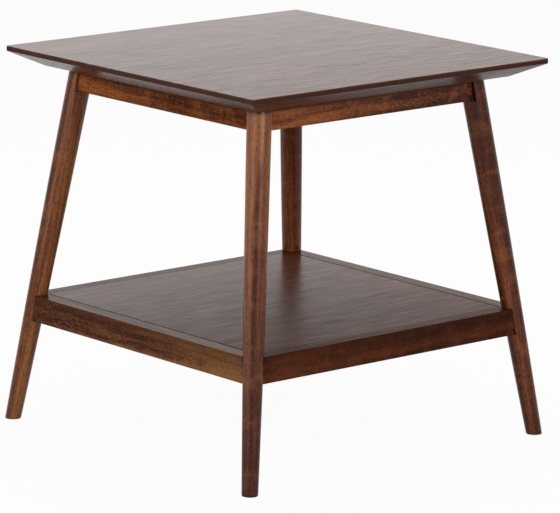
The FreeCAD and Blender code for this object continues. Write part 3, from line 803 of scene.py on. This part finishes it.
def white_floor():
    """Pale painted floor: matt white, nearly white to the eye, with the table's soft shadow left in it."""
    material, tree = blank_material("matt_white_floor")
    paint = add(tree, "ShaderNodeBsdfDiffuse", {"Color": opaque(grey(FLOOR_SHADE))})
    glow = add(tree, "ShaderNodeEmission", {"Color": WHITE, "Strength": 1.0})
    share = add(tree, "ShaderNodeMath", (shown_rays(tree), FLOOR_WHITE), operation="MULTIPLY")["Value"]
    surface = add(tree, "ShaderNodeMixShader", (share, paint["BSDF"], glow["Emission"]))
    add(tree, "ShaderNodeOutputMaterial", {"Surface": surface["Shader"]})
    return material


def make_floor(radius):
    """A flat disc at the floor's level: one face whose rim is a circle in equal steps of angle."""
    angles = np.linspace(0, 2 * math.pi, FLOOR_STEPS, endpoint=False)
    rim = np.stack([radius * np.cos(angles), radius * np.sin(angles), np.zeros_like(angles)], axis=-1)
    mesh = bpy.data.meshes.new("floor")
    mesh.from_pydata(rim.tolist(), [], [np.arange(FLOOR_STEPS).tolist()])
    floor = bpy.data.objects.new("floor", mesh)
    floor.data.materials.append(white_floor())
    bpy.context.scene.collection.objects.link(floor)


def set_sky(strength):
    """Even white light all round, and plain white where it is seen directly or in a reflection."""
    world = bpy.data.worlds.new("white_studio")
    world.use_nodes = True
    tree = world.node_tree
    tree.nodes.clear()
    light = add(tree, "ShaderNodeBackground", {"Color": WHITE, "Strength": strength})
    seen = add(tree, "ShaderNodeBackground", {"Color": WHITE, "Strength": SKY_WHITE})
    inputs = (shown_rays(tree), light["Background"], seen["Background"])
    surface = add(tree, "ShaderNodeMixShader", inputs)
    add(tree, "ShaderNodeOutputWorld", {"Surface": surface["Shader"]})
    bpy.context.scene.world = world


def direction_to(azimuth, elevation):
    """Unit vector from the table to a place round it."""
    level = math.cos(elevation)
    return Vector((math.sin(azimuth) * level, -math.cos(azimuth) * level, math.sin(elevation)))


def soft_box(name, away, size, power, aim):
    """A rectangular lamp at its distance from the aim, in the direction given, facing the aim."""
    lamp = bpy.data.lights.new(name, "AREA")
    lamp.shape = "RECTANGLE"
    lamp.size, lamp.size_y = size
    lamp.energy = power
    holder = bpy.data.objects.new(name, lamp)
    turn = away.to_track_quat("Z", "Y").to_matrix().to_4x4()
    holder.matrix_world = Matrix.Translation(aim + away * BOX_DISTANCE) @ turn
    bpy.context.scene.collection.objects.link(holder)


def set_camera(studio):
    """A camera at its azimuth and elevation, set out from a point above the origin and then rolled."""
    back = direction_to(studio.azimuth, studio.elevation)
    level = Vector((math.cos(studio.azimuth), math.sin(studio.azimuth), 0))
    upright = back.cross(level)
    aim = Vector((0, 0, studio.aim_level)) + level * studio.aim_right + upright * studio.aim_up
    right = math.cos(studio.roll) * level + math.sin(studio.roll) * upright
    up = math.cos(studio.roll) * upright - math.sin(studio.roll) * level
    camera = bpy.data.objects.new("camera", bpy.data.cameras.new("camera"))
    camera.data.lens = studio.lens
    camera.data.sensor_width = SENSOR_WIDTH
    camera.data.clip_end = CAMERA_REACH
    turn = Matrix((right, up, back)).transposed().to_4x4()
    camera.matrix_world = Matrix.Translation(aim + back * studio.distance) @ turn
    bpy.context.scene.collection.objects.link(camera)
    bpy.context.scene.camera = camera


class SetStage(bpy.types.Operator):
    """Sets the pale floor, the white sky, the four soft boxes and the camera"""

    bl_idname = "end_table.set_stage"
    bl_label = "Set the stage"

    def execute(self, context):
        studio = settings().studio
        make_floor(studio.floor_radius)
        set_sky(studio.sky_strength)
        aim = Vector((0, 0, studio.aim_level))
        for name, box in SOFT_BOXES.items():
            azimuth = studio.azimuth + math.radians(box["turn"])
            away = direction_to(azimuth, math.radians(box["elevation"]))
            soft_box(f"{name}_box", away, box["size"], getattr(studio, f"{name}_power"), aim)
        set_camera(studio)
        context.scene.view_settings.view_transform = "Standard"
        return {"FINISHED"}


class EndTable(bpy.types.PropertyGroup):
    """All settings of the table and its studio"""

    colours: PointerProperty(type=WoodColours)
    grain: PointerProperty(type=GrainSizes)
    legs: PointerProperty(type=LegSizes)
    studio: PointerProperty(type=StudioSettings)


OPERATORS = (MakeLegs, DressTop, DressAprons, DressShelf, DressJoinery, SetStage)


class EndTablePanel(bpy.types.Panel):
    """Steps and settings of the table, in order"""

    bl_idname = "VIEW3D_PT_end_table"
    bl_label = "End Table"
    bl_space_type = "VIEW_3D"
    bl_region_type = "UI"
    bl_category = "End Table"

    def draw(self, context):
        for step in OPERATORS:
            self.layout.operator(step.bl_idname)
        table = settings()
        for group in (table.colours, table.grain, table.legs, table.studio):
            box = self.layout.box()
            for name in group.__annotations__:
                box.prop(group, name)


CLASSES = (WoodColours, GrainSizes, LegSizes, StudioSettings, EndTable, *OPERATORS, EndTablePanel)


def register():
    for item in CLASSES:
        bpy.utils.register_class(item)
    bpy.types.Scene.end_table = PointerProperty(type=EndTable)


def unregister():
    del bpy.types.Scene.end_table
    for item in reversed(CLASSES):
        bpy.utils.unregister_class(item)


def main():
    register()
    bpy.ops.end_table.make_legs()
    bpy.ops.end_table.dress_top()
    bpy.ops.end_table.dress_aprons()
    bpy.ops.end_table.dress_shelf()
    bpy.ops.end_table.dress_joinery()
    bpy.ops.end_table.set_stage()


if __name__ == "__main__":
    main()
